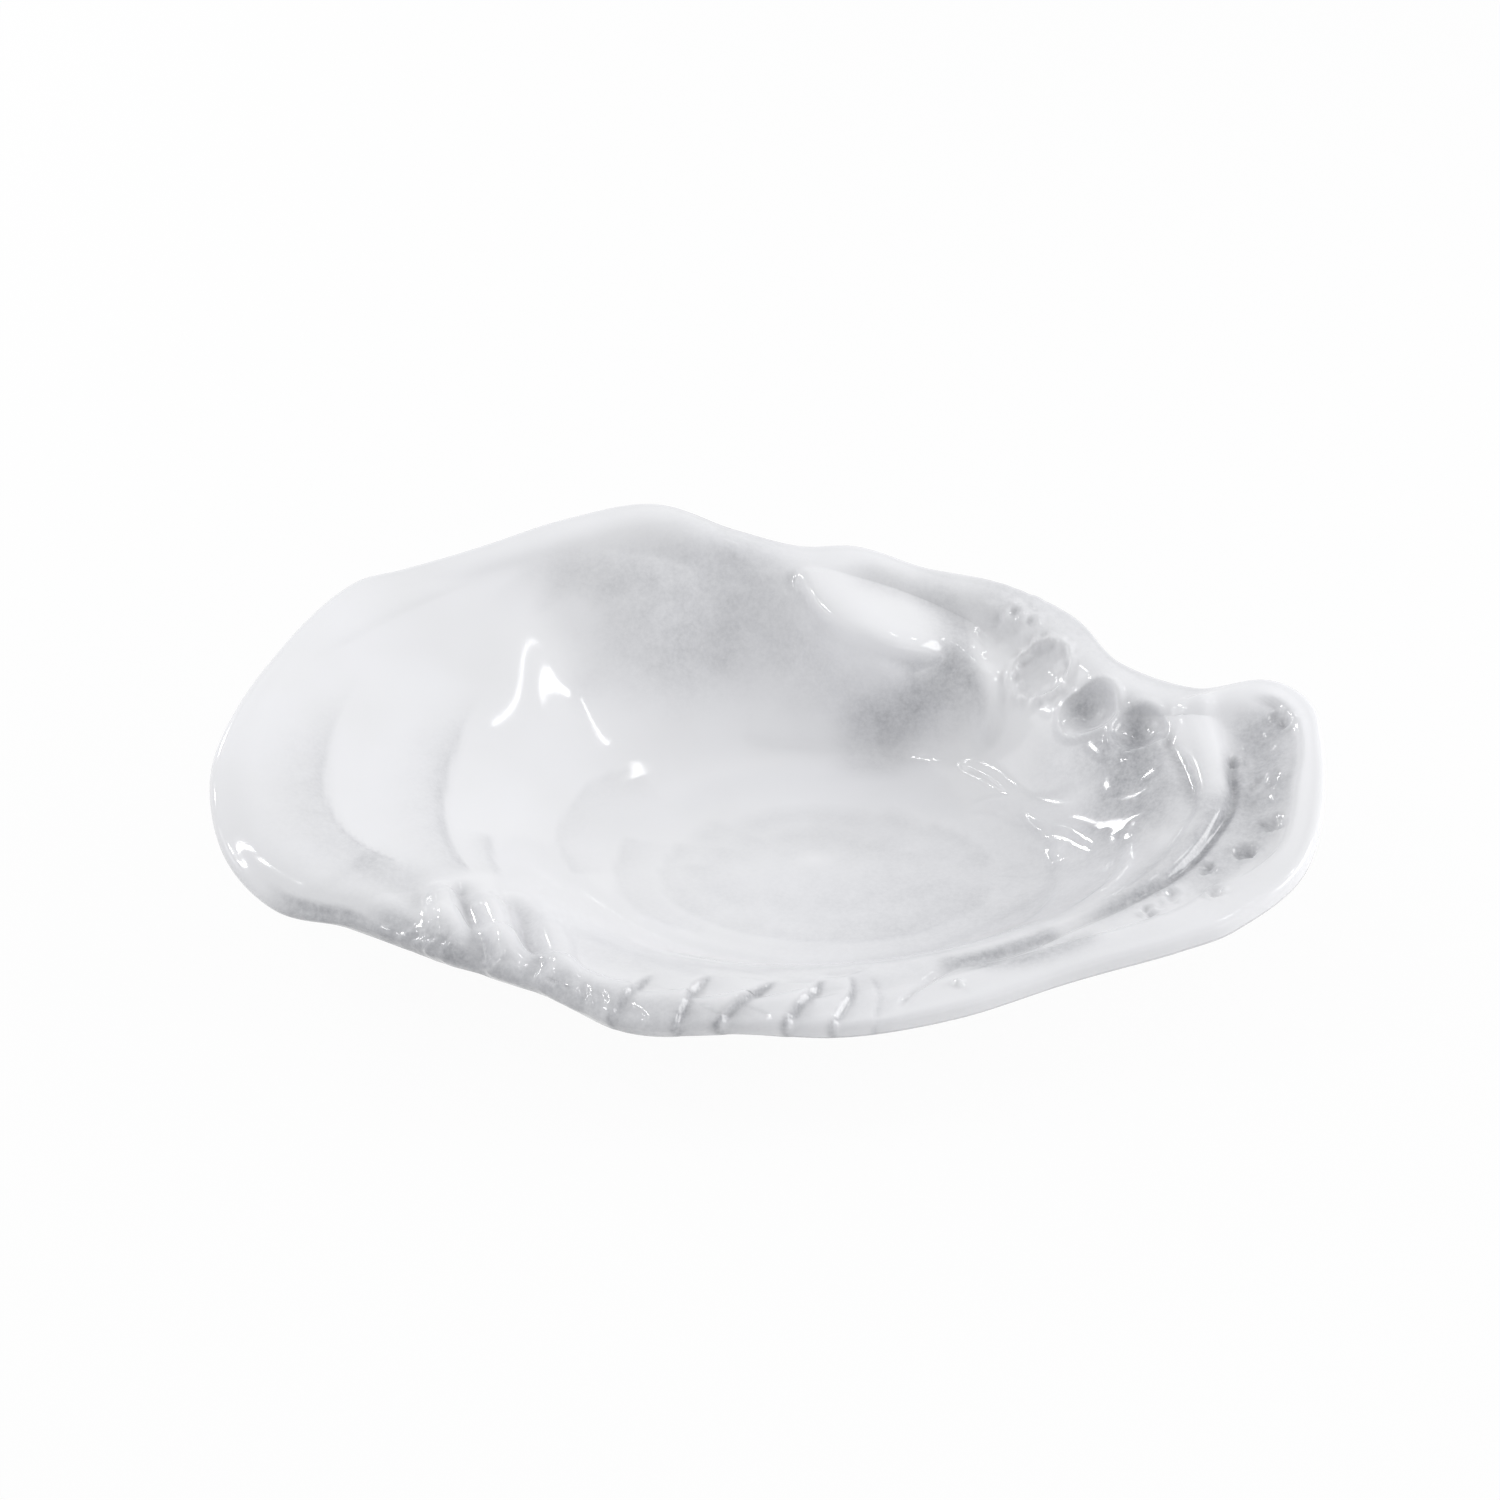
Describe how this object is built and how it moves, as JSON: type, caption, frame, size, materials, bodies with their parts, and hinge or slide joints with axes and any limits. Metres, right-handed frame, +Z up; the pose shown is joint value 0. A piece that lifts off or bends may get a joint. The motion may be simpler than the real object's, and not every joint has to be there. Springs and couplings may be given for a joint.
{
  "type": "serving bowl",
  "caption": "White glazed serving bowl in the free form of an open oyster shell, with a thick rounded lip, a deep oval floor, a high back wall, fluted front edge and a foot ring.",
  "frame": {"origin": "on the table, under the middle of the bowl's bounding box", "axes": "+X along the bowl, towards the narrow end with the pitted lip; +Y towards the high back wall; +Z up"},
  "size_m": [0.302, 0.1884, 0.0629],
  "materials": {
    "fired_clay": "smooth fired white clay, glazed outside, bare on the foot ring",
    "white_glaze": "high-gloss cool white glaze with soft grey pooling"
  },
  "bodies": {
    "root": {"bowl_body": "fired_clay", "glaze_coat": "white_glaze"}
  },
  "joints": []
}
